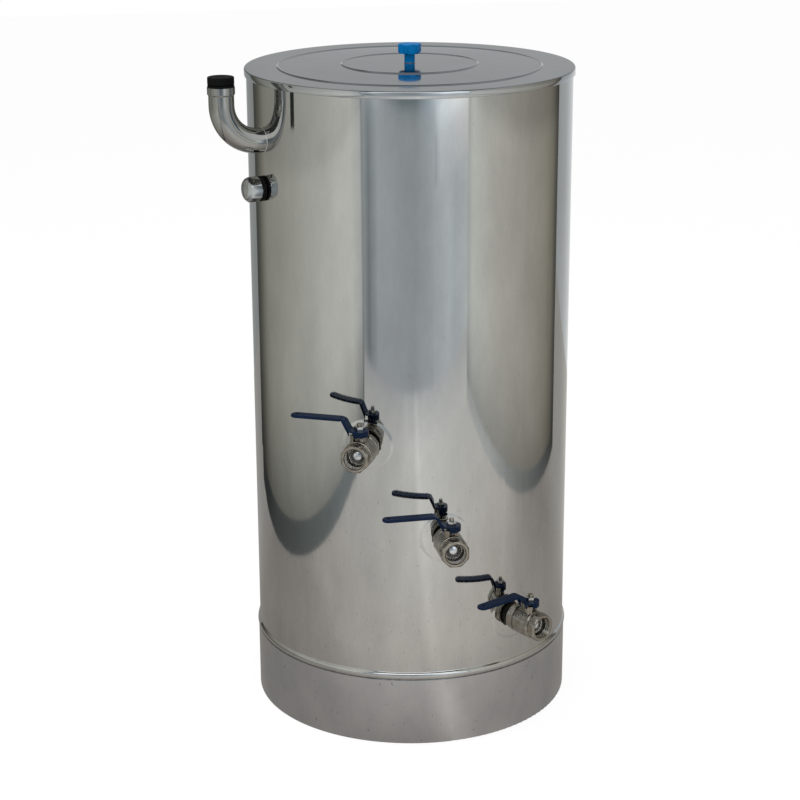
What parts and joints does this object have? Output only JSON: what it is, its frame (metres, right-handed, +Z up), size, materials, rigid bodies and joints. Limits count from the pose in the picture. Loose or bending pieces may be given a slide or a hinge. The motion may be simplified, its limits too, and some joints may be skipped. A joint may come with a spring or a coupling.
{
  "type": "wax settling tank",
  "caption": "Jacketed cylindrical stainless tank on a base skirt, with a lift-off lid, a water filling elbow, a level plug and ball valves stepped round the front to draw off settled wax.",
  "frame": {"origin": "on the floor under the tank's axis, the middle of the base skirt's foot", "axes": "+Z up along the tank's axis; -Y is the front, where the middle valve points; +X to the right seen from the front"},
  "size_m": [0.5746, 0.5742, 1.0522],
  "materials": {
    "shell_steel": "satin-polished stainless sheet",
    "skirt_steel": "brushed stainless sheet",
    "vessel_steel": "plain mill-finish stainless sheet",
    "plain_steel": "plain mill-finish stainless",
    "tube_steel": "polished stainless tube",
    "lid_steel": "bright stainless pressing",
    "knob_blue": "moulded blue plastic",
    "plated_steel": "bright zinc-plated steel",
    "plated_brass": "nickel-plated brass",
    "chromed_ball": "chromed and polished",
    "white_ptfe": "plain white fluoropolymer",
    "navy_paint": "dark navy gloss paint",
    "navy_vinyl": "dark navy dipped vinyl",
    "black_rubber": "plain black rubber"
  },
  "bodies": {
    "tank": {"outer_shell": "shell_steel", "base_skirt": "skirt_steel", "jacket_floor": "plain_steel", "wax_vessel": "vessel_steel", "vessel_stools": "plain_steel", "rim_ring": "vessel_steel", "fill_elbow": "tube_steel", "fill_neck": "tube_steel", "level_socket": "tube_steel", "lower_wall_collar": "shell_steel", "lower_stub_pipe": "tube_steel", "lower_valve_body": "plated_brass", "lower_end_piece": "plated_brass", "lower_seats": "white_ptfe", "lower_packing": "white_ptfe", "lower_gland_nut": "plated_brass", "middle_wall_collar": "shell_steel", "middle_stub_pipe": "tube_steel", "middle_valve_body": "plated_brass", "middle_end_piece": "plated_brass", "middle_seats": "white_ptfe", "middle_packing": "white_ptfe", "middle_gland_nut": "plated_brass", "upper_wall_collar": "shell_steel", "upper_stub_pipe": "tube_steel", "upper_valve_body": "plated_brass", "upper_end_piece": "plated_brass", "upper_seats": "white_ptfe", "upper_packing": "white_ptfe", "upper_gland_nut": "plated_brass"},
    "lid": {"lid": "lid_steel", "lid_knob": "knob_blue", "knob_washer": "plated_steel", "under_washer": "plated_steel", "knob_screw": "plated_steel"},
    "fill_plug": {"fill_plug": "black_rubber"},
    "level_gasket": {"level_gasket": "black_rubber"},
    "level_plug": {"level_plug": "plated_brass"},
    "lower_handle": {"lower_ball": "chromed_ball", "lower_stem": "plated_brass", "lower_lever": "navy_paint", "lower_lever_grip": "navy_vinyl", "lower_lever_nut": "plated_steel"},
    "middle_handle": {"middle_ball": "chromed_ball", "middle_stem": "plated_brass", "middle_lever": "navy_paint", "middle_lever_grip": "navy_vinyl", "middle_lever_nut": "plated_steel"},
    "upper_handle": {"upper_ball": "chromed_ball", "upper_stem": "plated_brass", "upper_lever": "navy_paint", "upper_lever_grip": "navy_vinyl", "upper_lever_nut": "plated_steel"}
  },
  "joints": [
    {"name": "lid_lift", "type": "slide", "parent": "tank", "child": "lid", "axis": [0, 0, 1], "range_m": [0, 0.15]},
    {"name": "fill_plug_pull", "type": "slide", "parent": "tank", "child": "fill_plug", "axis": [0, 0, 1], "range_m": [0, 0.05]},
    {"name": "level_plug_run", "type": "slide", "parent": "tank", "child": "level_gasket", "axis": [-0.9613, -0.2756, 0], "range_m": [0, 0.01269]},
    {"name": "level_plug_turn", "type": "hinge", "parent": "level_gasket", "child": "level_plug", "pos_m": [-0.24704, -0.07084, 0.855], "axis": [-0.9613, -0.2756, 0], "range_deg": [0, 2520]},
    {"name": "lower_valve_turn", "type": "hinge", "parent": "tank", "child": "lower_handle", "pos_m": [0.13236, -0.25977, 0.195], "axis": [0, 0, 1], "range_deg": [0, 90]},
    {"name": "middle_valve_turn", "type": "hinge", "parent": "tank", "child": "middle_handle", "pos_m": [0, -0.29154, 0.343], "axis": [0, 0, 1], "range_deg": [0, 90]},
    {"name": "upper_valve_turn", "type": "hinge", "parent": "tank", "child": "upper_handle", "pos_m": [-0.13236, -0.25977, 0.491], "axis": [0, 0, 1], "range_deg": [0, 90]}
  ],
  "couplings": [
    {"joint": "level_plug_turn", "follows": "level_plug_run", "rad_per_m": 3463.7}
  ]
}
